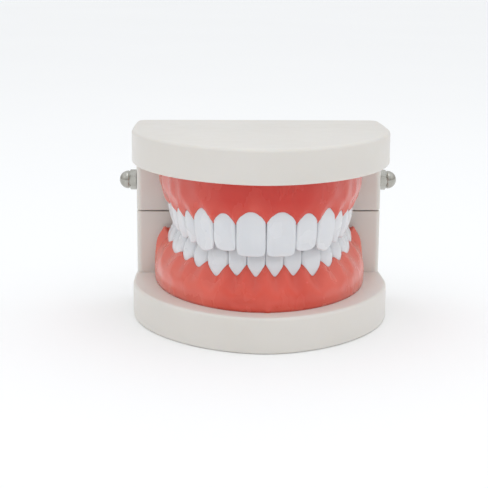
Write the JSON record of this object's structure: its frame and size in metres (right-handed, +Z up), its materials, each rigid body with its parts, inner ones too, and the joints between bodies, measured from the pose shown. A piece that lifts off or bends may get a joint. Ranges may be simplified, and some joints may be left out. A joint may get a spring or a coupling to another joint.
{
  "type": "hinged dental teeth model",
  "caption": "Hinged full-mouth teeth model: D-shaped upper and lower bases with rear walls, coral gums, white teeth, and a jaw that opens on a steel rod with domed cap nuts.",
  "frame": {"origin": "middle of the bottom face of the whole outline box, on the table", "axes": "+Z up, the front teeth face -Y, the hinge rod runs along X, +X is the model's own left side"},
  "size_m": [0.0854, 0.065, 0.056],
  "materials": {
    "base_plastic": "warm off-white moulded plastic, satin",
    "gum_plastic": "coral red, glossy",
    "tooth_enamel": "cool white, glossy",
    "nut_steel": "nickel plated, polished",
    "rod_steel": "drawn steel"
  },
  "bodies": {
    "lower_jaw": {"lower_base": "base_plastic", "lower_gum": "gum_plastic", "lower_right_central_incisor": "tooth_enamel", "lower_right_lateral_incisor": "tooth_enamel", "lower_right_canine": "tooth_enamel", "lower_right_first_premolar": "tooth_enamel", "lower_right_second_premolar": "tooth_enamel", "lower_right_first_molar": "tooth_enamel", "lower_right_second_molar": "tooth_enamel", "lower_left_central_incisor": "tooth_enamel", "lower_left_lateral_incisor": "tooth_enamel", "lower_left_canine": "tooth_enamel", "lower_left_first_premolar": "tooth_enamel", "lower_left_second_premolar": "tooth_enamel", "lower_left_first_molar": "tooth_enamel", "lower_left_second_molar": "tooth_enamel"},
    "upper_jaw": {"upper_base": "base_plastic", "upper_gum": "gum_plastic", "hinge_rod": "rod_steel", "hinge_cap_nuts": "nut_steel", "upper_right_central_incisor": "tooth_enamel", "upper_right_lateral_incisor": "tooth_enamel", "upper_right_canine": "tooth_enamel", "upper_right_first_premolar": "tooth_enamel", "upper_right_second_premolar": "tooth_enamel", "upper_right_first_molar": "tooth_enamel", "upper_right_second_molar": "tooth_enamel", "upper_left_central_incisor": "tooth_enamel", "upper_left_lateral_incisor": "tooth_enamel", "upper_left_canine": "tooth_enamel", "upper_left_first_premolar": "tooth_enamel", "upper_left_second_premolar": "tooth_enamel", "upper_left_first_molar": "tooth_enamel", "upper_left_second_molar": "tooth_enamel"}
  },
  "joints": [
    {"name": "jaw_hinge", "type": "hinge", "parent": "lower_jaw", "child": "upper_jaw", "pos_m": [0, 0.0265, 0.0382], "axis": [-1, 0, 0], "range_deg": [0, 105]}
  ]
}
